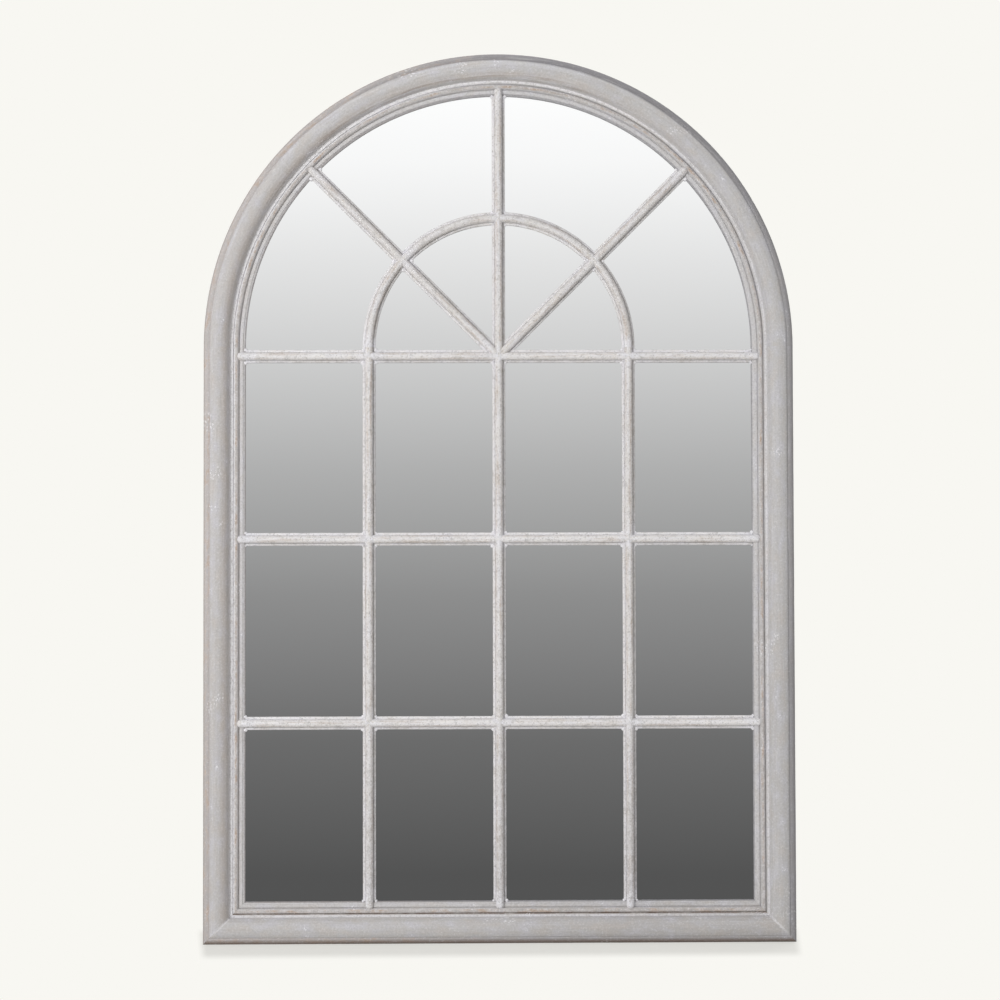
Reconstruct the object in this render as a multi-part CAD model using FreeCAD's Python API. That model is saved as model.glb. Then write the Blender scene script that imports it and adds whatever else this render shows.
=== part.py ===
import FreeCAD, Part
import math
import os

os.makedirs("parts", exist_ok=True)

# Arched wall mirror: a moulded frame with a half-round head, one sheet of mirror glass, and
# glazing bars laid on the glass. Millimetres. X is to the right, Z is up, Y runs towards the wall.
# The origin is at the foot, in the middle of the width and of the whole depth.
# In a section, "out" runs outwards from the sight edge and "up" runs from the frame's back to the room.

# Frame
frame_width = 1000.0
frame_depth = 38.0
moulding_width = 70.0

# Moulding, from the sight edge outwards
first_strip_width = 4.2
first_strip_height = 3.4
second_strip_width = 5.6
second_strip_height = 5.0
quirk_width = 1.4
quirk_depth = 1.6
bead_width = 9.0
fillet_rise = 3.0
fillet_lead = 0.8
fillet_width = 5.2
slope_width = 7.0
slope_hollow = 0.8
band_crown = 4.0
nose_step = 1.0
nose_width = 11.0
nose_drop = 12.0
nose_bulge = 2.8

# Panes and glazing bars
pane_height = 289.0
pane_rows = 3
springing_rise = 4.0
diagonal_angle = 45.0
bar_width = 22.0
bar_height = 12.0
bar_body_width = 13.2
bar_body_side = 6.5
bar_fillet_height = 3.2
bar_chamfer = 0.8
bar_groove = 0.8
bar_lap = 14.5

# Glass and back
glass_thickness = 4.0
glass_rebate = 8.0
glass_clearance = 1.0
pad_thickness = 2.0
pad_size = 25.0
pad_columns = 3
board_thickness = 4.0
board_recess = 2.0
board_seat = 22.0
board_clearance = 1.0

# Joints and fasteners
dowel_diameter = 8.0
dowel_length = 40.0
dowel_end_gap = 1.0
dowel_out = 36.0
dowel_spacing = 20.0
dowel_up = 16.0
fit_clearance = 0.05
wedge_leg = 8.0
wedge_thickness = 0.8
wedge_depth = 10.0
wedge_out = 30.0
wedge_spacing = 22.0
screw_shank_diameter = 3.2
screw_head_diameter = 7.0
screw_head_height = 1.6
screw_clearance = 0.2
board_screw_length = 14.0
board_screw_pitch = 230.0
hanger_screw_length = 16.0

# Hangers and bumpers
hanger_below_springing = 130.0
hanger_out = 46.0
strap_width = 13.0
strap_thickness = 1.2
strap_length = 36.0
strap_screw_offset = 11.0
strap_screw_spacing = 16.5
ring_wire_diameter = 3.0
ring_clearance = 0.08
ring_width = 28.0
ring_drop = 21.0
ring_corner = 3.0
ring_rest_gap = 0.3
bumper_diameter = 16.0
bumper_height = 6.0
bumper_taper = 1.5
bumper_from_foot = 45.0

# Worked out from the sizes above
arch_radius = frame_width / 2
sight_radius = arch_radius - moulding_width
pane_width = (2 * sight_radius - 3 * bar_width) / 4
side_bar_x = pane_width + bar_width
row_heights = [
    moulding_width + (row + 1) * pane_height + (row + 0.5) * bar_width for row in range(pane_rows)
]
hub_z = row_heights[-1]
springing_z = hub_z + bar_width / 2 + springing_rise
seat_up = board_recess + board_thickness
glass_back_up = seat_up + pad_thickness
glass_front_up = glass_back_up + glass_thickness
back_y = (frame_depth + bumper_height) / 2 - bumper_height
arch_segment_names = ["right_lower", "right_upper", "left_upper", "left_lower"]
segment_angle = 180 / len(arch_segment_names)
sides = {"left": -1, "right": 1}
towards_wall = FreeCAD.Vector(0, 1, 0)
towards_room = FreeCAD.Vector(0, -1, 0)
arch_centre = FreeCAD.Vector(0, 0, springing_z)


def at(x, up, z):
    return FreeCAD.Vector(x, back_y - up, z)


def ray(angle):
    return FreeCAD.Vector(math.cos(math.radians(angle)), 0, math.sin(math.radians(angle)))


def section(start, steps, origin, outward):
    """A closed face. A step of one point is a line, and a step of two is an arc through the first."""

    def place(point):
        return origin + outward * point[0] + towards_wall * (back_y - point[1])

    edges = []
    here = place(start)
    for step in steps + [(start,)]:
        points = [place(point) for point in step]
        if len(points) == 1:
            edges.append(Part.LineSegment(here, points[0]).toShape())
        else:
            edges.append(Part.Arc(here, points[0], points[1]).toShape())
        here = points[-1]
    return Part.Face(Part.Wire(edges))


def bulged(first, last, bulge):
    """The middle of an arc from first to last that stands out to the left of the chord by bulge."""
    across = last[0] - first[0]
    along = last[1] - first[1]
    chord = math.hypot(across, along)
    middle = ((first[0] + last[0]) / 2, (first[1] + last[1]) / 2)
    return (middle[0] - bulge * along / chord, middle[1] + bulge * across / chord)


def moulding_section(origin, outward):
    strip_one = glass_front_up + first_strip_height
    strip_two = glass_front_up + second_strip_height
    strips_end = first_strip_width + second_strip_width
    bead_start = strips_end + quirk_width
    bead_radius = bead_width / 2
    bead_end = (bead_start + bead_width, strip_two)
    fillet_start = (bead_end[0] + fillet_lead, strip_two + fillet_rise)
    fillet_end = (fillet_start[0] + fillet_width, fillet_start[1])
    arris = (fillet_end[0] + slope_width, frame_depth - band_crown)
    band_end = (moulding_width - nose_width, frame_depth - band_crown)
    nose_start = (band_end[0], band_end[1] - nose_step)
    nose_end = (moulding_width, frame_depth - nose_drop)
    steps = [
        ((board_seat, 0),),
        ((board_seat, seat_up),),
        ((glass_rebate, seat_up),),
        ((glass_rebate, glass_front_up),),
        ((0, glass_front_up),),
        ((0, strip_one),),
        ((first_strip_width, strip_one),),
        ((first_strip_width, strip_two),),
        ((strips_end, strip_two),),
        ((strips_end + quirk_width / 2, strip_two - quirk_depth),),
        ((bead_start, strip_two),),
        ((bead_start + bead_radius, strip_two + bead_radius), bead_end),
        (fillet_start,),
        (fillet_end,),
        (bulged(fillet_end, arris, -slope_hollow), arris),
        (((arris[0] + band_end[0]) / 2, frame_depth), band_end),
        (nose_start,),
        (bulged(nose_start, nose_end, nose_bulge), nose_end),
    ]
    return section((moulding_width, 0), steps, origin, outward)


def body_crest(side):
    """How far up the rounded body of a bar stands at a distance from its middle line."""
    rise = bar_height - bar_body_side
    radius = (bar_body_width**2 / 4 + rise**2) / (2 * rise)
    return glass_front_up + bar_height - radius + math.sqrt(radius**2 - side**2)


def bar_section(origin, across):
    half = bar_width / 2
    body = bar_body_width / 2
    fillet = glass_front_up + bar_fillet_height
    left_side = [
        (-half, fillet - bar_chamfer),
        (-half + bar_chamfer, fillet),
        (-body - bar_groove, fillet),
        (-body, fillet - bar_groove),
        (-body, glass_front_up + bar_body_side),
    ]
    right_side = [(-out, up) for out, up in reversed(left_side)]
    steps = [(point,) for point in left_side]
    steps.append(((0, glass_front_up + bar_height), right_side[0]))
    steps += [(point,) for point in right_side[1:]]
    steps.append(((half, glass_front_up),))
    return section((-half, glass_front_up), steps, origin, across)


def bar_end(centre, direction):
    """The half-round, domed end of a bar's body."""
    body = bar_body_width / 2
    steps = [
        ((body, glass_front_up),),
        ((body, glass_front_up + bar_body_side),),
        ((body / 2, body_crest(body / 2)), (0, glass_front_up + bar_height)),
    ]
    across = direction.cross(towards_wall) * -1
    half_body = section((0, glass_front_up), steps, centre, across)
    return half_body.revolve(centre, towards_room, 180)


def straight_bar(start, end, rounded_start, rounded_end):
    direction = (end - start).normalize()
    across = direction.cross(towards_wall) * -1
    bar = bar_section(start, across).extrude(end - start)
    if rounded_start:
        bar = bar.fuse(bar_end(start, direction * -1))
    if rounded_end:
        bar = bar.fuse(bar_end(end, direction))
    return bar.removeSplitter()


def cylinder(diameter, length, base, direction):
    return Part.makeCylinder(diameter / 2, length, base, direction)


def fitted(piece, others):
    """The piece with whatever it meets cut out of it."""
    near = [other for other in others if other.BoundBox.intersect(piece.BoundBox)]
    return max(piece.cut(near).Solids, key=lambda solid: solid.Volume) if near else piece


def mitre_corner(side, keeps_stile):
    """The wedge of a foot corner that a mitred end loses."""
    outer = FreeCAD.Vector(side * arch_radius, -frame_width, 0)
    inner = FreeCAD.Vector(side * sight_radius, -frame_width, moulding_width)
    lost_x = side * (sight_radius if keeps_stile else arch_radius)
    lost_z = 0 if keeps_stile else moulding_width
    lost = FreeCAD.Vector(lost_x, -frame_width, lost_z)
    face = Part.Face(Part.makePolygon([outer, inner, lost, outer]))
    return face.extrude(towards_wall * (2 * frame_width))


def frame_joint_holes(extra_radius, extra_end):
    """Dowels, or with a clearance their holes, in each joint of the head."""
    solids = []
    length = dowel_length + 2 * extra_end
    for joint in range(len(arch_segment_names) + 1):
        outward = ray(joint * segment_angle)
        along = outward.cross(towards_wall)
        for place in range(2):
            out = sight_radius + dowel_out + place * dowel_spacing
            middle = arch_centre + outward * out + towards_wall * (back_y - dowel_up)
            base = middle - along * (length / 2)
            solids.append(cylinder(dowel_diameter + 2 * extra_radius, length, base, along))
    return solids


def mitre_wedges():
    """Steel wedge nails, driven from the back, with one leg in each side of a foot mitre."""
    solids = []
    for side in sides.values():
        for place in range(2):
            out = wedge_out + place * wedge_spacing
            corner = at(side * (sight_radius + out), 0, moulding_width - out)
            reach = FreeCAD.Vector(side * wedge_leg, 0, 0)
            drop = FreeCAD.Vector(0, 0, -wedge_leg)
            thick_x = FreeCAD.Vector(side * wedge_thickness, 0, 0)
            thick_z = FreeCAD.Vector(0, 0, -wedge_thickness)
            points = [
                corner,
                corner + reach,
                corner + reach + thick_z,
                corner + thick_x + thick_z,
                corner + drop + thick_x,
                corner + drop,
                corner,
            ]
            face = Part.Face(Part.makePolygon(points))
            solids.append(face.extrude(towards_room * wedge_depth))
    return solids


def make_frame():
    """The seven moulded members, with their dowel holes and wedge slots."""
    members = {}
    for name, side in sides.items():
        origin = FreeCAD.Vector(side * sight_radius, 0, springing_z)
        face = moulding_section(origin, FreeCAD.Vector(side, 0, 0))
        stile = face.extrude(FreeCAD.Vector(0, 0, -springing_z))
        members[f"{name}_stile"] = stile.cut(mitre_corner(side, True))
    origin = FreeCAD.Vector(-arch_radius, 0, moulding_width)
    rail = moulding_section(origin, FreeCAD.Vector(0, 0, -1)).extrude(FreeCAD.Vector(frame_width, 0, 0))
    corners = [mitre_corner(side, False) for side in sides.values()]
    members["bottom_rail"] = rail.cut(corners)
    for number, name in enumerate(arch_segment_names):
        outward = ray(number * segment_angle)
        face = moulding_section(arch_centre + outward * sight_radius, outward)
        members[f"arch_segment_{name}"] = face.revolve(arch_centre, towards_room, segment_angle)
    holes = frame_joint_holes(fit_clearance, dowel_end_gap) + mitre_wedges()
    for point in board_screw_points():
        holes.append(screw_hole(point, fit_clearance, board_screw_length, towards_room))
    for point in hanger_screw_points():
        holes.append(screw_hole(point, fit_clearance, hanger_screw_length, towards_room))
    return {name: fitted(member, holes) for name, member in members.items()}


def make_bars(frame):
    """The upright bars run through, and every other bar is scribed to what it meets."""
    bars = {}
    members = list(frame.values())
    end_centre = bar_lap - bar_body_width / 2
    foot_z = moulding_width - end_centre
    crown_z = springing_z + sight_radius + end_centre

    centre_bar = straight_bar(FreeCAD.Vector(0, 0, foot_z), FreeCAD.Vector(0, 0, crown_z), True, True)
    uprights = {"centre": centre_bar}
    for name, side in sides.items():
        foot = FreeCAD.Vector(side * side_bar_x, 0, foot_z)
        top = FreeCAD.Vector(side * side_bar_x, 0, springing_z)
        uprights[name] = straight_bar(foot, top, True, False)
    for name, bar in uprights.items():
        bars[f"{name}_glazing_bar"] = fitted(bar, members)

    wall_x = sight_radius + end_centre
    stops = [-wall_x, -side_bar_x, 0, side_bar_x, wall_x]
    upper_row = []
    for row, height in enumerate(row_heights):
        for pane in range(len(stops) - 1):
            start = FreeCAD.Vector(stops[pane], 0, height)
            end = FreeCAD.Vector(stops[pane + 1], 0, height)
            bar = straight_bar(start, end, pane == 0, pane == len(stops) - 2)
            bar = fitted(bar, list(uprights.values()) + members)
            bars[f"cross_bar_row{row + 1}_pane{pane + 1}"] = bar
            if height == hub_z:
                upper_row.append(bar)

    hub = FreeCAD.Vector(0, 0, hub_z)
    below_centre = springing_z - hub_z
    diagonals = []
    for name, side in sides.items():
        direction = ray(diagonal_angle)
        direction.x = side * direction.x
        drop = below_centre * direction.z
        reach = drop + math.sqrt(drop**2 + sight_radius**2 - below_centre**2)
        end = hub + direction * (reach + end_centre)
        bar = straight_bar(hub + direction * (bar_body_width / 2), end, False, True)
        bar = fitted(bar, [centre_bar] + upper_row + members)
        bars[f"diagonal_bar_{name}"] = bar
        diagonals.append(bar)

    drop = below_centre * ray(diagonal_angle).z
    reach = drop + math.sqrt(drop**2 + side_bar_x**2 - below_centre**2)
    crossing = ray(diagonal_angle) * reach - FreeCAD.Vector(0, 0, below_centre)
    crossing_angle = math.degrees(math.atan2(crossing.z, crossing.x))
    spans = {
        "right_lower": (0, crossing_angle),
        "right_upper": (crossing_angle, 90),
        "left_upper": (90, 180 - crossing_angle),
        "left_lower": (180 - crossing_angle, 180),
    }
    for name, (first, last) in spans.items():
        outward = ray(first)
        face = bar_section(arch_centre + outward * side_bar_x, outward)
        arc = face.revolve(arch_centre, towards_room, last - first)
        bars[f"inner_arch_{name}"] = fitted(arc, diagonals + [centre_bar])
    return bars


def arched_plate(margin, up, thickness):
    """A plate with a half-round head that reaches margin outwards from the sight edge."""
    radius = sight_radius + margin
    foot = moulding_width - margin
    right_foot = at(radius, up, foot)
    left_foot = at(-radius, up, foot)
    right_spring = at(radius, up, springing_z)
    left_spring = at(-radius, up, springing_z)
    edges = [
        Part.LineSegment(left_foot, right_foot).toShape(),
        Part.LineSegment(right_foot, right_spring).toShape(),
        Part.Arc(right_spring, at(0, up, springing_z + radius), left_spring).toShape(),
        Part.LineSegment(left_spring, left_foot).toShape(),
    ]
    return Part.Face(Part.Wire(edges)).extrude(towards_room * thickness)


def glass_pads():
    """Pads between the glass and the board, in even rows below and a fan in the head."""
    pitch = 2 * sight_radius / pad_columns
    rows = max(1, round((springing_z - moulding_width) / pitch))
    row_pitch = (springing_z - moulding_width) / rows
    places = []
    for row in range(rows):
        for column in range(pad_columns):
            x = (column - (pad_columns - 1) / 2) * pitch
            places.append((x, moulding_width + (row + 0.5) * row_pitch))
    for column in range(pad_columns):
        spot = arch_centre + ray(180 * (column + 0.5) / pad_columns) * (sight_radius - pitch / 2)
        places.append((spot.x, spot.z))
    half = pad_size / 2
    pads = []
    for x, z in places:
        corner = at(x - half, glass_back_up, z - half)
        pads.append(Part.makeBox(pad_size, pad_thickness, pad_size, corner))
    return pads


def spread(first, last, pitch):
    """Even places between two ends, about a pitch apart, with half a gap left at each end."""
    count = max(1, round(abs(last - first) / pitch))
    return [first + (last - first) * (number + 0.5) / count for number in range(count)]


def board_screw_points():
    """Places on the board's back, along the middle of the wood that carries its edge."""
    line = sight_radius + (glass_rebate + board_seat) / 2
    foot = moulding_width - (glass_rebate + board_seat) / 2
    points = []
    for side in sides.values():
        for z in spread(foot, springing_z, board_screw_pitch):
            points.append(at(side * line, board_recess, z))
    for x in spread(-line, line, board_screw_pitch):
        points.append(at(x, board_recess, foot))
    for arc in spread(0, math.pi * line, board_screw_pitch):
        spot = arch_centre + ray(math.degrees(arc / line)) * line
        points.append(at(spot.x, board_recess, spot.z))
    return points


def hanger_axis(side):
    """The middle of a hanger ring's straight bar."""
    loop_radius = ring_wire_diameter / 2 + ring_clearance + strap_thickness
    z = springing_z - hanger_below_springing
    return at(side * (sight_radius + hanger_out), -loop_radius, z)


def hanger_screw_points():
    points = []
    for side in sides.values():
        for place in range(2):
            below = strap_screw_offset + place * strap_screw_spacing
            axis = hanger_axis(side)
            points.append(at(axis.x, 0, axis.z - below))
    return points


def screw_hole(point, clearance, depth, direction):
    return cylinder(screw_shank_diameter + 2 * clearance, depth, point, direction)


def screw(point, length, under_head):
    """A pan-head screw. Its tip is length past point, and its head starts under_head behind it."""
    head_base = point + towards_wall * under_head
    shank = cylinder(screw_shank_diameter, length + under_head, head_base, towards_room)
    head = cylinder(screw_head_diameter, screw_head_height, head_base, towards_wall)
    rim = [edge for edge in head.Edges if edge.BoundBox.YMin > head_base.y + screw_head_height / 2]
    head = head.makeFillet(screw_head_height / 2, rim)
    return shank.fuse(head).removeSplitter()


def hanger_strap(side):
    """A strip folded round the ring's bar, with its two ends screwed down together."""
    axis = hanger_axis(side)
    bore = ring_wire_diameter / 2 + ring_clearance
    loop = bore + strap_thickness
    leaf = 2 * strap_thickness
    left = axis.x - strap_width / 2
    across = FreeCAD.Vector(strap_width, 0, 0)
    foot_z = axis.z - strap_length
    fold_z = axis.z - 2 * loop
    loop_start = at(left, 0, axis.z)
    loop_end = at(left, -2 * loop, axis.z)
    profile = [
        Part.LineSegment(at(left, 0, foot_z), loop_start).toShape(),
        Part.Arc(loop_start, at(left, -loop, axis.z + loop), loop_end).toShape(),
        Part.LineSegment(loop_end, at(left, -leaf, fold_z)).toShape(),
        Part.LineSegment(at(left, -leaf, fold_z), at(left, -leaf, foot_z)).toShape(),
        Part.LineSegment(at(left, -leaf, foot_z), at(left, 0, foot_z)).toShape(),
    ]
    strap = Part.Face(Part.Wire(profile)).extrude(across)
    bore_base = FreeCAD.Vector(left - 1, axis.y, axis.z)
    holes = [cylinder(2 * bore, strap_width + 2, bore_base, FreeCAD.Vector(1, 0, 0))]
    for point in hanger_screw_points():
        holes.append(screw_hole(point, screw_clearance, 2 * leaf, towards_wall))
    return strap.cut(holes)


def hanger_ring(side):
    """A closed D of round wire, hanging against its strap."""
    axis = hanger_axis(side)
    half = ring_width / 2
    corner = ring_corner
    cut = corner * (1 - math.sqrt(0.5))
    low = ring_drop - half

    def spot(x, down):
        return FreeCAD.Vector(axis.x + x, axis.y, axis.z - down)

    path = Part.Wire(
        [
            Part.LineSegment(spot(0, 0), spot(half - corner, 0)).toShape(),
            Part.Arc(spot(half - corner, 0), spot(half - cut, cut), spot(half, corner)).toShape(),
            Part.LineSegment(spot(half, corner), spot(half, low)).toShape(),
            Part.Arc(spot(half, low), spot(0, ring_drop), spot(-half, low)).toShape(),
            Part.LineSegment(spot(-half, low), spot(-half, corner)).toShape(),
            Part.Arc(spot(-half, corner), spot(cut - half, cut), spot(corner - half, 0)).toShape(),
            Part.LineSegment(spot(corner - half, 0), spot(0, 0)).toShape(),
        ]
    )
    wire_circle = Part.Circle(spot(0, 0), FreeCAD.Vector(1, 0, 0), ring_wire_diameter / 2)
    profile = Part.Wire([wire_circle.toShape()])
    ring = path.makePipeShell([profile], True, False)
    loop_height = axis.y - back_y
    lift = 2 * strap_thickness + ring_wire_diameter / 2 + ring_rest_gap - loop_height
    tilt = math.degrees(math.asin(lift / ring_drop))
    ring.rotate(axis, FreeCAD.Vector(1, 0, 0), tilt)
    return ring


def wall_bumper(side):
    base = at(side * (sight_radius + hanger_out), 0, bumper_from_foot)
    radius = bumper_diameter / 2
    return Part.makeCone(radius, radius - bumper_taper, bumper_height, base, towards_wall)


def save(name, shape):
    shape.exportStep(f"parts/{name}.step")
    print(name, len(shape.Solids), round(shape.Volume / 1000, 2), "cm3", shape.isValid())


frame = make_frame()
for name, member in frame.items():
    save(name, member)
for name, bar in make_bars(frame).items():
    save(name, bar)

save("mirror_glass", arched_plate(glass_rebate - glass_clearance, glass_back_up, glass_thickness))
save("glass_pads", Part.makeCompound(glass_pads()))
board_holes = []
for point in board_screw_points():
    board_holes.append(screw_hole(point, screw_clearance, board_thickness, towards_room))
board = arched_plate(board_seat - board_clearance, board_recess, board_thickness)
save("backing_board", board.cut(board_holes))

save("frame_dowels", Part.makeCompound(frame_joint_holes(0, 0)))
save("mitre_wedges", Part.makeCompound(mitre_wedges()))
board_screws = [screw(point, board_screw_length, 0) for point in board_screw_points()]
save("board_screws", Part.makeCompound(board_screws))
hanger_screws = []
for point in hanger_screw_points():
    hanger_screws.append(screw(point, hanger_screw_length, 2 * strap_thickness))
save("hanger_screws", Part.makeCompound(hanger_screws))
for name, side in sides.items():
    save(f"hanger_strap_{name}", hanger_strap(side))
    save(f"hanger_ring_{name}", hanger_ring(side))
    save(f"wall_bumper_{name}", wall_bumper(side))
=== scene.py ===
import math
import bmesh
import bpy
from mathutils import Matrix, Vector


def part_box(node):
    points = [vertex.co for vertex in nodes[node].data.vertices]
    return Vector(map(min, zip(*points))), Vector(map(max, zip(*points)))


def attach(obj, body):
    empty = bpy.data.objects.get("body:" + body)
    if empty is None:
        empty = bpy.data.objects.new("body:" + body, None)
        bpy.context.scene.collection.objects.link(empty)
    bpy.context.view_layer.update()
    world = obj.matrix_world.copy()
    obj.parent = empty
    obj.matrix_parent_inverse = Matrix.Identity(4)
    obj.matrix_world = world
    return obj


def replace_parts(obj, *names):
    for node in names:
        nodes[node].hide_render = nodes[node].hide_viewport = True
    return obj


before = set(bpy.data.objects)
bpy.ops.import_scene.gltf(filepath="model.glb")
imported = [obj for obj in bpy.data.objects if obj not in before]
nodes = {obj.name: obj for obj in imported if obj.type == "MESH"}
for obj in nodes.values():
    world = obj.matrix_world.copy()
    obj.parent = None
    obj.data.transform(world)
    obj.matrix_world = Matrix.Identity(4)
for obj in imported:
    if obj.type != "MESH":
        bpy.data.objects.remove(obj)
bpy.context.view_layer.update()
print("frame loaded:", len(nodes), "nodes")

# Where things are, in metres, as the CAD has them
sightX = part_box("left_stile")[1].x * -1  # half the glass that shows
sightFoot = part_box("bottom_rail")[1].z
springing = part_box("left_stile")[1].z
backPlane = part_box("left_stile")[1].y
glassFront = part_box("mirror_glass")[0].y
sideBarX = (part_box("right_glazing_bar")[0].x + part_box("right_glazing_bar")[1].x) / 2
barHalf = (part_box("centre_glazing_bar")[1].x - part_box("centre_glazing_bar")[0].x) / 2
hub = sum(corner.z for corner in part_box("cross_bar_row3_pane1")) / 2


class Signal:
    # one output of a node tree; arithmetic on it adds Math nodes
    def __init__(self, sketch, socket):
        self.sketch = sketch
        self.socket = socket

    def math(self, operation, first, second=0.0):
        return self.sketch.node("ShaderNodeMath", {"operation": operation}, {0: first, 1: second})

    def __add__(self, other):
        return self.math("ADD", self, other)

    def __sub__(self, other):
        return self.math("SUBTRACT", self, other)

    def __rsub__(self, other):
        return self.math("SUBTRACT", other, self)

    def __mul__(self, other):
        return self.math("MULTIPLY", self, other)

    def __truediv__(self, other):
        return self.math("DIVIDE", self, other)

    def __pow__(self, other):
        return self.math("POWER", self, other)

    def __abs__(self):
        return self.math("ABSOLUTE", self)

    def __gt__(self, other):
        return self.math("GREATER_THAN", self, other)

    def most(self, other):
        return self.math("MAXIMUM", self, other)

    def least(self, other):
        return self.math("MINIMUM", self, other)

    def ramp(self, low, high):
        # 0 below low, 1 above high, smooth between; the other way round when low is above high
        settings = {"interpolation_type": "SMOOTHSTEP"}
        if low > high:
            return 1 - self.ramp(high, low)
        values = {"Value": self, "From Min": low, "From Max": high}
        return self.sketch.node("ShaderNodeMapRange", settings, values)

    def near(self, centre, reach):
        # 1 at centre, fading to 0 at reach on either side
        return abs(self - centre).ramp(reach, 0.0)

    __radd__ = __add__
    __rmul__ = __mul__


class Sketch:
    # a node tree that is filled in by node()
    def __init__(self, tree):
        self.tree = tree
        tree.nodes.clear()

    def node(self, kind, settings, inputs, output=0):
        made = self.tree.nodes.new(kind)
        for name, value in settings.items():
            if name == "stops":
                setStops(made.color_ramp, value)
            else:
                setattr(made, name, value)
        for key, value in inputs.items():
            if isinstance(value, Signal):
                self.tree.links.new(value.socket, made.inputs[key])
            elif isinstance(value, list):  # several shapes into one socket
                for shape in value:
                    self.tree.links.new(shape.socket, made.inputs[key])
            else:
                made.inputs[key].default_value = value
        return Signal(self, made.outputs[output]) if len(made.outputs) else made

    def blend(self, share, first, second):
        values = {0: share, 6: first, 7: second}
        return self.node("ShaderNodeMix", {"data_type": "RGBA"}, values, 2)

    def vector(self, x, y, z):
        return self.node("ShaderNodeCombineXYZ", {}, {0: x, 1: y, 2: z})

    def steer(self, operation, first, second=(0.0, 0.0, 0.0), scale=1.0):
        values = {0: first, "Scale": scale} if operation == "SCALE" else {0: first, 1: second}
        return self.node("ShaderNodeVectorMath", {"operation": operation}, values)

    def noise(self, place, scale, detail=3.0, rough=0.55):
        values = {"Vector": place, "Scale": scale, "Detail": detail, "Roughness": rough}
        return self.node("ShaderNodeTexNoise", {}, values)

    def parts(self, vector):
        made = self.tree.nodes.new("ShaderNodeSeparateXYZ")
        self.tree.links.new(vector.socket, made.inputs[0])
        return [Signal(self, made.outputs[axis]) for axis in range(3)]

    def spot(self):
        return self.node("ShaderNodeTexCoord", {}, {}, "Object")


def setStops(ramp, stops):
    while len(ramp.elements) > 1:
        ramp.elements.remove(ramp.elements[-1])
    ramp.elements[0].position = stops[0][0]
    ramp.elements[0].color = stops[0][1]
    for position, colour in stops[1:]:
        ramp.elements.new(position).color = colour


def tint(red, green, blue):
    # a colour as it is seen on a screen, 0 to 255, as the linear values of a socket
    def linear(value):
        share = value / 255
        return share / 12.92 if share <= 0.04045 else ((share + 0.055) / 1.055) ** 2.4
    return (linear(red), linear(green), linear(blue), 1.0)


def newMaterial(name):
    material = bpy.data.materials.new(name)
    material.use_nodes = True
    return material, Sketch(material.node_tree)


def finishMaterial(sketch, inputs):
    shader = sketch.node("ShaderNodeBsdfPrincipled", {}, inputs)
    sketch.node("ShaderNodeOutputMaterial", {}, {"Surface": shader})


def newTree(name, sizes):
    # a Geometry Nodes tree with one named input for each size
    tree = bpy.data.node_groups.new(name, "GeometryNodeTree")
    tree.interface.new_socket("Geometry", in_out="OUTPUT", socket_type="NodeSocketGeometry")
    tree.interface.new_socket("Geometry", in_out="INPUT", socket_type="NodeSocketGeometry")
    for label, kind in sizes.items():
        tree.interface.new_socket(label, in_out="INPUT", socket_type="NodeSocket" + kind)
    sketch = Sketch(tree)
    given = tree.nodes.new("NodeGroupInput")
    return sketch, {socket.name: Signal(sketch, socket) for socket in given.outputs if socket.name}


def endTree(sketch, shape, material):
    shape = sketch.node("GeometryNodeRealizeInstances", {}, {"Geometry": shape})
    shape = sketch.node("GeometryNodeSetMaterial", {}, {"Geometry": shape, "Material": material})
    sketch.node("NodeGroupOutput", {}, {"Geometry": shape})
    return sketch.tree


def grow(name, mesh, tree, sizes):
    # what the tree makes of the mesh, as a plain mesh that rides on the frame
    piece = bpy.data.objects.new(name, mesh)
    bpy.context.scene.collection.objects.link(piece)
    build = piece.modifiers.new("build", "NODES")
    build.node_group = tree
    for item in tree.interface.items_tree:
        if item.in_out == "INPUT" and item.name in sizes:
            build[item.identifier] = sizes[item.name]
    ready = piece.evaluated_get(bpy.context.evaluated_depsgraph_get())
    grown = bpy.data.meshes.new_from_object(ready)
    piece.modifiers.remove(build)
    piece.data = grown
    solid = bmesh.new()
    solid.from_mesh(grown)
    bmesh.ops.remove_doubles(solid, verts=solid.verts, dist=0.000002)
    bmesh.ops.recalc_face_normals(solid, faces=solid.faces)
    solid.to_mesh(grown)
    solid.free()
    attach(piece, "frame")
    return piece


def pointMesh(name, places):
    mesh = bpy.data.meshes.new(name)
    mesh.from_pydata([tuple(place) for place in places], [], [])
    return mesh


def dress(node, material):
    held = nodes[node]
    if not held.material_slots:
        held.data.materials.append(material)
    for slot in held.material_slots:
        slot.material = material


# Where the photograph was taken from, in metres and degrees
viewpoint = {
    "place": (-0.07996, -4.484, 0.58681),
    "pitch": 2.048,
    "yaw": 1.041,
    "roll": -0.144,
    "lens": 95.14,
}


def makeCamera(view):
    data = bpy.data.cameras.new("viewCamera")
    data.lens = view["lens"]
    data.sensor_width = 36.0
    camera = bpy.data.objects.new("viewCamera", data)
    turn = Matrix.Rotation(-math.radians(view["yaw"]), 3, "Z")
    turn = turn @ Matrix.Rotation(math.radians(90 + view["pitch"]), 3, "X")
    turn = turn @ Matrix.Rotation(math.radians(view["roll"]), 3, "Z")
    camera.rotation_euler = turn.to_euler()
    camera.location = view["place"]
    bpy.context.scene.collection.objects.link(camera)
    bpy.context.scene.camera = camera


makeCamera(viewpoint)
bpy.context.scene.view_settings.view_transform = "Standard"
print("camera placed")


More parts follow.
